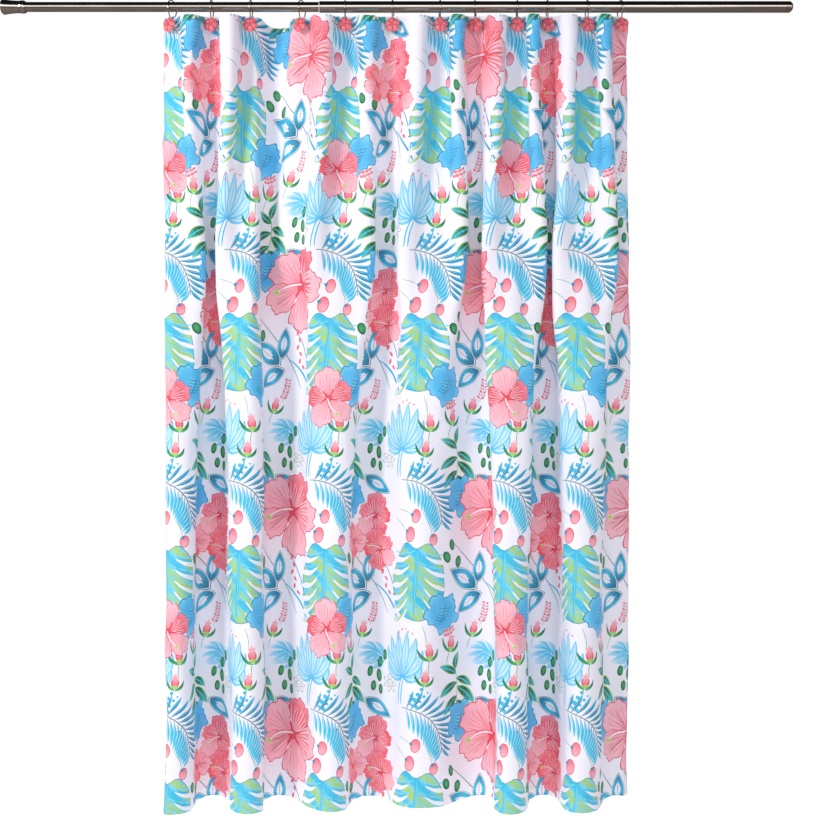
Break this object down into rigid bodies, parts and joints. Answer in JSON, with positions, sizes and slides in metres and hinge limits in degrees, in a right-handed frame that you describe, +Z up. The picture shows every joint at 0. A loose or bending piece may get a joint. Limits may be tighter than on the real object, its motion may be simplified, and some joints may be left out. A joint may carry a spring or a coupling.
{
  "type": "shower curtain",
  "caption": "Square printed cloth panel gathered in soft folds, hung by flower hooks on a telescoping tension rod with wall pads at both ends.",
  "frame": {"origin": "centre of the right wall pad's face, on the rod's axis", "axes": "+X along the rod towards the right wall, +Z up, -Y towards the room"},
  "size_m": [1.833, 0.1502, 1.8726],
  "materials": {
    "nickel": "polished nickel plate",
    "nickel_cap": "polished nickel plate",
    "nylon": "moulded nylon",
    "rubber": "matt rubber",
    "steel": "drawn wire",
    "plate": "dark lacquered plate",
    "resin": "satin cast resin",
    "cloth": "printed polyester"
  },
  "bodies": {
    "fixed_half": {"outer_tube": "nickel", "mouth_bush": "nylon", "right_end_plug": "nickel_cap", "right_wall_pad": "rubber"},
    "lock_carriage": {"lock_cam": "nylon", "tension_spring": "steel"},
    "spindle_set": {"screw_spindle": "steel"},
    "sliding_half": {"inner_tube": "nickel", "left_end_cap": "nickel", "collar_ring": "nickel", "left_wall_pad": "rubber", "inner_plug": "nylon"},
    "curtain": {"curtain_panel": "cloth"},
    "hook_1": {"hook_wire_1": "steel", "flower_plate_1": "plate", "flower_1": "resin"},
    "hook_2": {"hook_wire_2": "steel", "flower_plate_2": "plate", "flower_2": "resin"},
    "hook_3": {"hook_wire_3": "steel", "flower_plate_3": "plate", "flower_3": "resin"},
    "hook_4": {"hook_wire_4": "steel", "flower_plate_4": "plate", "flower_4": "resin"},
    "hook_5": {"hook_wire_5": "steel", "flower_plate_5": "plate", "flower_5": "resin"},
    "hook_6": {"hook_wire_6": "steel", "flower_plate_6": "plate", "flower_6": "resin"},
    "hook_7": {"hook_wire_7": "steel", "flower_plate_7": "plate", "flower_7": "resin"},
    "hook_8": {"hook_wire_8": "steel", "flower_plate_8": "plate", "flower_8": "resin"},
    "hook_9": {"hook_wire_9": "steel", "flower_plate_9": "plate", "flower_9": "resin"},
    "hook_10": {"hook_wire_10": "steel", "flower_plate_10": "plate", "flower_10": "resin"},
    "hook_11": {"hook_wire_11": "steel", "flower_plate_11": "plate", "flower_11": "resin"},
    "hook_12": {"hook_wire_12": "steel", "flower_plate_12": "plate", "flower_12": "resin"}
  },
  "joints": [
    {"name": "rod_extension", "type": "slide", "parent": "fixed_half", "child": "lock_carriage", "axis": [1, 0, 0], "range_m": [-0.025, 0.3]},
    {"name": "spring_press", "type": "slide", "parent": "lock_carriage", "child": "spindle_set", "axis": [1, 0, 0], "range_m": [0, 0.01], "stiffness_N_per_m": 2500, "springref_m": -0.02, "deforming": ["tension_spring"]},
    {"name": "tube_twist", "type": "hinge", "parent": "spindle_set", "child": "sliding_half", "pos_m": [-1.8, 0, 0], "axis": [1, 0, 0], "continuous": true},
    {"name": "curtain_swing", "type": "hinge", "parent": "fixed_half", "child": "curtain", "pos_m": [-0.9, 0, 0], "axis": [1, 0, 0], "range_deg": [-15, 15]},
    {"name": "curtain_draw", "type": "slide", "parent": "curtain", "child": "hook_1", "axis": [1, 0, 0], "range_m": [0, 0.6471], "deforming": ["curtain_panel"]},
    {"name": "hook_slide_2", "type": "slide", "parent": "curtain", "child": "hook_2", "axis": [1, 0, 0], "range_m": [0, 0.6067]},
    {"name": "hook_slide_3", "type": "slide", "parent": "curtain", "child": "hook_3", "axis": [1, 0, 0], "range_m": [0, 0.5657]},
    {"name": "hook_slide_4", "type": "slide", "parent": "curtain", "child": "hook_4", "axis": [1, 0, 0], "range_m": [0, 0.5127]},
    {"name": "hook_slide_5", "type": "slide", "parent": "curtain", "child": "hook_5", "axis": [1, 0, 0], "range_m": [0, 0.4677]},
    {"name": "hook_slide_6", "type": "slide", "parent": "curtain", "child": "hook_6", "axis": [1, 0, 0], "range_m": [0, 0.4177]},
    {"name": "hook_slide_7", "type": "slide", "parent": "curtain", "child": "hook_7", "axis": [1, 0, 0], "range_m": [0, 0.3687]},
    {"name": "hook_slide_8", "type": "slide", "parent": "curtain", "child": "hook_8", "axis": [1, 0, 0], "range_m": [0, 0.3318]},
    {"name": "hook_slide_9", "type": "slide", "parent": "curtain", "child": "hook_9", "axis": [1, 0, 0], "range_m": [0, 0.2881]},
    {"name": "hook_slide_10", "type": "slide", "parent": "curtain", "child": "hook_10", "axis": [1, 0, 0], "range_m": [0, 0.2566]},
    {"name": "hook_slide_11", "type": "slide", "parent": "curtain", "child": "hook_11", "axis": [1, 0, 0], "range_m": [0, 0.2152]},
    {"name": "hook_slide_12", "type": "slide", "parent": "curtain", "child": "hook_12", "axis": [1, 0, 0], "range_m": [0, 0.1806]}
  ],
  "couplings": [
    {"joint": "hook_slide_2", "follows": "curtain_draw", "ratio": 0.93602},
    {"joint": "hook_slide_3", "follows": "curtain_draw", "ratio": 0.87274},
    {"joint": "hook_slide_4", "follows": "curtain_draw", "ratio": 0.79068},
    {"joint": "hook_slide_5", "follows": "curtain_draw", "ratio": 0.72114},
    {"joint": "hook_slide_6", "follows": "curtain_draw", "ratio": 0.64395},
    {"joint": "hook_slide_7", "follows": "curtain_draw", "ratio": 0.56815},
    {"joint": "hook_slide_8", "follows": "curtain_draw", "ratio": 0.51113},
    {"joint": "hook_slide_9", "follows": "curtain_draw", "ratio": 0.44367},
    {"joint": "hook_slide_10", "follows": "curtain_draw", "ratio": 0.39499},
    {"joint": "hook_slide_11", "follows": "curtain_draw", "ratio": 0.33102},
    {"joint": "hook_slide_12", "follows": "curtain_draw", "ratio": 0.27747}
  ]
}
